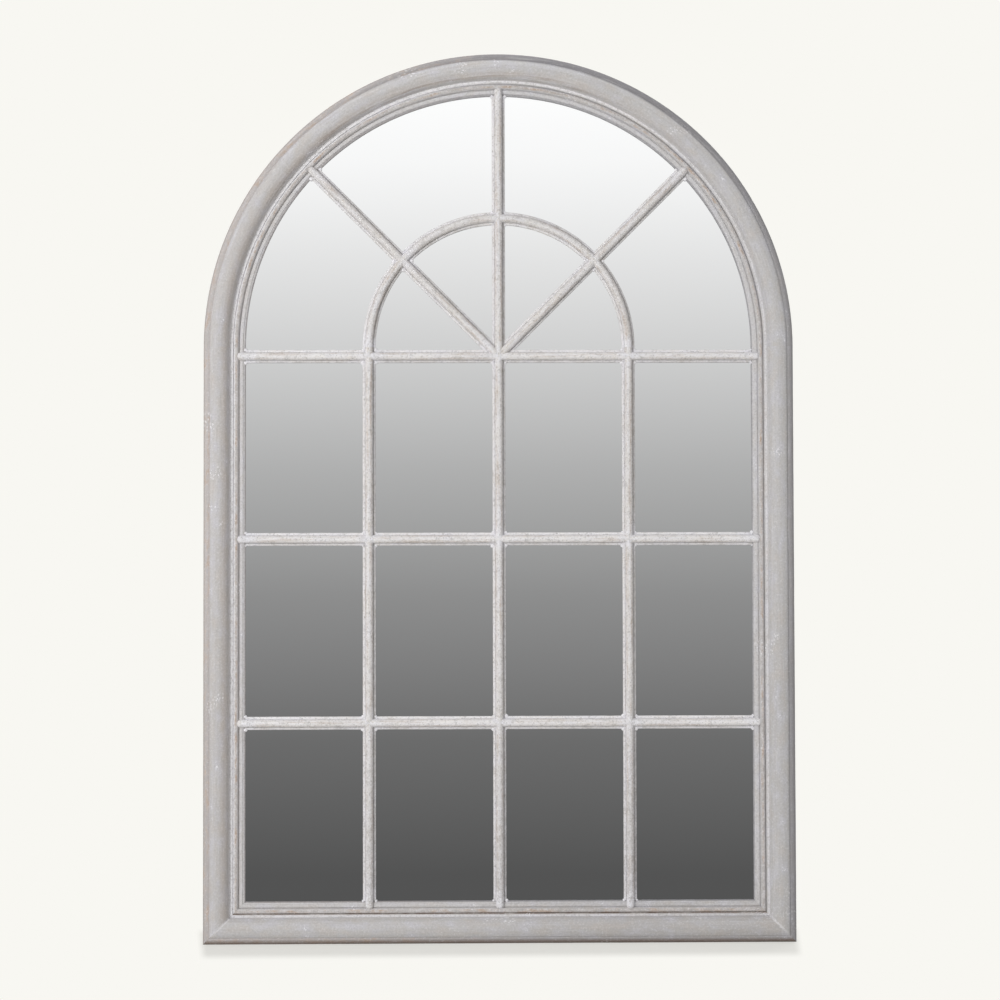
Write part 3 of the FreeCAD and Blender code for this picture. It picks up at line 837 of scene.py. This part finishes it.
def screwTree(sizes):
    sketch, given = newTree("panScrews", {
        "Head radius": "Float", "Head height": "Float", "Shank radius": "Float", "Shank length": "Float",
        "Slot width": "Float", "Slot reach": "Float", "Slot depth": "Float", "Seed": "Int",
        "Metal": "Material"})
    height = given["Head height"]
    head = sketch.node("GeometryNodeMeshCylinder", {"fill_type": "NGON"}, {
        "Vertices": 36, "Side Segments": 3, "Fill Segments": 5,
        "Radius": given["Head radius"], "Depth": height})
    x, y, z = sketch.parts(sketch.node("GeometryNodeInputPosition", {}, {}))
    share = (x * x + y * y) ** 0.5 / given["Head radius"]
    domed = (z + height * 0.5) * (1 - (share ** sizes["domePower"]) * sizes["domeFall"])
    head = sketch.node("GeometryNodeSetPosition", {},
                       {"Geometry": head, "Position": sketch.vector(x, y, domed)})
    reach, width = given["Slot reach"], given["Slot width"]
    cuts = []
    for long, wide in ((reach, width), (width, reach)):
        box = sketch.vector(long, wide, given["Slot depth"] * 2)
        cut = sketch.node("GeometryNodeMeshCube", {}, {"Size": box})
        cuts.append(sketch.node("GeometryNodeTransform", {}, {
            "Geometry": cut, "Translation": sketch.vector(0.0, 0.0, height)}))
    exact = {"operation": "DIFFERENCE", "solver": "EXACT"}
    head = sketch.node("GeometryNodeMeshBoolean", exact, {"Mesh 1": head, "Mesh 2": cuts})
    shank = sketch.node("GeometryNodeMeshCylinder", {}, {
        "Vertices": 20, "Radius": given["Shank radius"], "Depth": given["Shank length"]})
    shank = sketch.node("GeometryNodeTransform", {}, {
        "Geometry": shank, "Translation": sketch.vector(0.0, 0.0, given["Shank length"] * -0.5)})
    whole = sketch.node("GeometryNodeJoinGeometry", {}, {"Geometry": [head, shank]})
    whole = smoothed(sketch, whole, sizes["crispAngle"])
    values = {"Min": 0.0, "Max": math.tau, "Seed": given["Seed"]}
    spin = sketch.node("FunctionNodeRandomValue", {"data_type": "FLOAT"}, values, 1)
    shape = sketch.node("GeometryNodeInstanceOnPoints", {}, {
        "Points": given["Geometry"], "Instance": whole, "Rotation": (-math.pi / 2, 0.0, 0.0)})
    shape = sketch.node("GeometryNodeRotateInstances", {}, {
        "Instances": shape, "Rotation": sketch.vector(0.0, 0.0, spin), "Local Space": True})
    return endTree(sketch, shape, given["Metal"])


def headPlaces(node, reach, height):
    # the middle of the underside of each head in a group of screws
    groups = []
    for vertex in nodes[node].data.vertices:
        spot = vertex.co
        near = [held for held in groups if math.hypot(held[0].x - spot.x, held[0].z - spot.z) < reach]
        if near:
            near[0].append(spot)
        else:
            groups.append([spot])
    places = []
    for held in groups:
        acrosses, ups = [spot.x for spot in held], [spot.z for spot in held]
        under = max(spot.y for spot in held) - height
        places.append(((min(acrosses) + max(acrosses)) / 2, under, (min(ups) + max(ups)) / 2))
    return places


def makeScrews(sizes, metal):
    tree = screwTree(sizes)
    for node in ("board_screws", "hanger_screws"):
        places = headPlaces(node, sizes["groupReach"] / 1000, sizes["height"] / 1000)
        values = {"Head radius": sizes["head"] / 2000, "Head height": sizes["height"] / 1000,
                  "Shank radius": sizes["shank"] / 2000, "Shank length": sizes["length"] / 1000,
                  "Slot width": sizes["slot"] / 1000, "Slot reach": sizes["slotReach"] / 1000,
                  "Slot depth": sizes["slotDepth"] / 1000, "Seed": sizes["seed"], "Metal": metal}
        name = node.replace("_", "-") + "-cross"
        piece = grow(name, pointMesh(name + "Places", places), tree, values)
        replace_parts(piece, node)
        print(node, len(places))


mirror = {
    "silver": (0.96, 0.965, 0.965, 1),
    "backPaint": tint(92, 104, 104),
    "silvered": 0.0035,  # metres behind the front where the painted back begins
}


def mirrorMaterial():
    material, sketch = newMaterial("silveredGlass")
    y = sketch.parts(sketch.spot())[1]
    back = y > glassFront + mirror["silvered"]
    colour = sketch.blend(back, mirror["silver"], mirror["backPaint"])
    finishMaterial(sketch, {"Base Color": colour, "Metallic": 1 - back, "Roughness": back * 0.5})
    return material


# Plain finishes: light and dark colour, lumps per metre, roughness, metal, and what they cover
plains = {
    "foam": (tint(232, 232, 228), tint(210, 210, 205), 700, 0.8, 0.0, ["glass_pads"]),
    "beech": (tint(214, 184, 142), tint(190, 156, 112), 120, 0.6, 0.0, ["frame_dowels"]),
    "zinc": (tint(196, 192, 180), tint(160, 158, 150), 900, 0.3, 1.0,
             ["mitre_wedges", "board_screws", "hanger_screws"]),
    "nickel": (tint(206, 205, 200), tint(184, 182, 176), 700, 0.22, 1.0,
               ["hanger_strap_left", "hanger_strap_right", "hanger_ring_left", "hanger_ring_right"]),
    "rubber": (tint(46, 46, 46), tint(32, 32, 32), 500, 0.75, 0.0, ["wall_bumper_left", "wall_bumper_right"]),
}


def plainMaterial(name, colour, dark, scale, rough, metal):
    material, sketch = newMaterial(name)
    mottle = sketch.noise(sketch.spot(), scale, 4.0)
    shade = sketch.blend(mottle.ramp(0.3, 0.7), dark, colour)
    normal = sketch.node("ShaderNodeBump", {}, {"Strength": 0.3, "Distance": 0.0003, "Height": mottle})
    finishMaterial(sketch, {
        "Base Color": shade, "Roughness": mottle * 0.15 + rough, "Metallic": metal, "Normal": normal})
    return material


fibreboard = {
    "cloudDark": tint(165, 137, 106),
    "cloudLight": tint(172, 144, 112),
    "fibre": tint(196, 170, 138),
    "crossed": tint(132, 104, 76),
    "speck": tint(96, 74, 54),
}


def boardMaterial(looks):
    # pressed fibreboard: soft clouds, short fibres both ways and dark specks
    material, sketch = newMaterial("fibreboard")
    where = sketch.spot()
    x, y, z = sketch.parts(where)
    cloud = sketch.noise(where, 5.0, 3.0)
    fibre = sketch.noise(sketch.vector(x * 420, y * 420, z * 190), 1.0, 4.0, 0.7)
    crossed = sketch.noise(sketch.vector(x * 170, y * 420, z * 460), 1.0, 3.0, 0.7)
    speck = sketch.noise(where, 900.0, 1.0)
    colour = sketch.blend(cloud.ramp(0.2, 0.8), looks["cloudDark"], looks["cloudLight"])
    colour = sketch.blend(fibre.ramp(0.5, 0.7) * 0.5, colour, looks["fibre"])
    colour = sketch.blend(crossed.ramp(0.48, 0.32) * 0.5, colour, looks["crossed"])
    colour = sketch.blend(speck.ramp(0.66, 0.72) * 0.5, colour, looks["speck"])
    bump = {"Strength": 0.4, "Distance": 0.0003, "Height": fibre + crossed}
    normal = sketch.node("ShaderNodeBump", {}, bump)
    finishMaterial(sketch, {"Base Color": colour, "Roughness": cloud * 0.15 + 0.6, "Normal": normal})
    return material


dress("mirror_glass", mirrorMaterial())
dress("backing_board", boardMaterial(fibreboard))
finishes = {}
for name, (colour, dark, scale, rough, metal, covered) in plains.items():
    finishes[name] = plainMaterial(name, colour, dark, scale, rough, metal)
    for node in covered:
        dress(node, finishes[name])
makeScrews(screws, finishes["zinc"])
print("mirror and back dressed")


# The room: its colours, its even light and what the mirror sees of it
studio = {
    "background": tint(248, 247, 242),
    "floorBounce": tint(205, 204, 199),
    "roomLight": 0.56,
    # greys by how far a ray rises: a pale floor, a dark foot of the room and a white upper room
    "seen": [(-0.50, 205), (-0.24, 150), (-0.13, 84), (-0.105, 85), (-0.055, 109), (0.0, 144),
             (0.047, 178), (0.104, 218), (0.126, 231), (0.148, 244), (0.162, 251), (0.185, 257)],
    "lowest": -0.5,
    "span": 0.75,
    # the strip of shadow at the foot, in metres: full and gone along y, then along x
    "shadowReach": (0.215, 0.115),
    "shadowSides": (0.512, 0.494),
    "shadowSkew": 0.11,
    "shadowShare": 0.45,
}
# Lamps: place, target, size and watts
lamps = {
    "keyLamp": ((-3.3, -5.0, 1.2), (0, 0, 0.8), (1.8, 1.8), 185.0),
    "topLamp": ((0, 0.05, 3.0), (0, 0.05, 0), (1.4, 0.3), 12.0),
    "backLamp": ((2.6, 4.8, 2.4), (0, 0, 0.8), (2.4, 2.4), 120.0),
}


def makeWorld(light):
    world = bpy.data.worlds.new("studioRoom")
    world.use_nodes = True
    bpy.context.scene.world = world
    sketch = Sketch(world.node_tree)
    up = sketch.parts(sketch.node("ShaderNodeTexCoord", {}, {}, "Generated"))[2]
    lowest, span = light["lowest"], light["span"]
    stops = [((rise - lowest) / span, tint(grey, grey, grey)) for rise, grey in light["seen"]]
    seen = sketch.node("ShaderNodeValToRGB", {"stops": stops}, {"Fac": (up - lowest) / span})
    path = "ShaderNodeLightPath"
    camera = sketch.node(path, {}, {}, "Is Camera Ray")
    glossy = sketch.node(path, {}, {}, "Is Glossy Ray")
    level = light["roomLight"]
    lit = sketch.blend(glossy, (level, level, level, 1), seen)
    colour = sketch.blend(camera, lit, light["background"])
    shader = sketch.node("ShaderNodeBackground", {}, {"Color": colour, "Strength": 1.0})
    sketch.node("ShaderNodeOutputWorld", {}, {"Surface": shader})


def makeLamp(name, place, target, size, power):
    data = bpy.data.lights.new(name, "AREA")
    data.shape = "RECTANGLE"
    data.size, data.size_y = size
    data.energy = power
    lamp = bpy.data.objects.new(name, data)
    lamp.location = place
    lamp.rotation_euler = (Vector(target) - Vector(place)).to_track_quat("-Z", "Y").to_euler()
    lamp.visible_glossy = False
    bpy.context.scene.collection.objects.link(lamp)


def makeFloor(light):
    mesh = bpy.data.meshes.new("studioFloor")
    reach = 20.0
    corners = [(-reach, -reach, 0), (reach, -reach, 0), (reach, reach, 0), (-reach, reach, 0)]
    mesh.from_pydata(corners, [], [(0, 1, 2, 3)])
    floor = bpy.data.objects.new("studioFloor", mesh)
    bpy.context.scene.collection.objects.link(floor)
    material, sketch = newMaterial("paleFloor")
    x, y = sketch.parts(sketch.spot())[:2]
    aside = abs(x) - y * light["shadowSkew"]
    shadow = abs(y).ramp(*light["shadowReach"]) * aside.ramp(*light["shadowSides"])
    camera = sketch.node("ShaderNodeLightPath", {}, {}, "Is Camera Ray")
    bounce = sketch.node("ShaderNodeBsdfDiffuse", {}, {"Color": light["floorBounce"]})
    pale = sketch.node("ShaderNodeEmission", {}, {"Color": light["background"], "Strength": 1.0})
    share = camera * (1 - shadow * light["shadowShare"])
    shader = sketch.node("ShaderNodeMixShader", {}, {0: share, 1: bounce, 2: pale})
    sketch.node("ShaderNodeOutputMaterial", {}, {"Surface": shader})
    mesh.materials.append(material)
    floor.visible_glossy = False


makeWorld(studio)
for name, (place, target, size, power) in lamps.items():
    makeLamp(name, place, target, size, power)
makeFloor(studio)
print("studio lit")
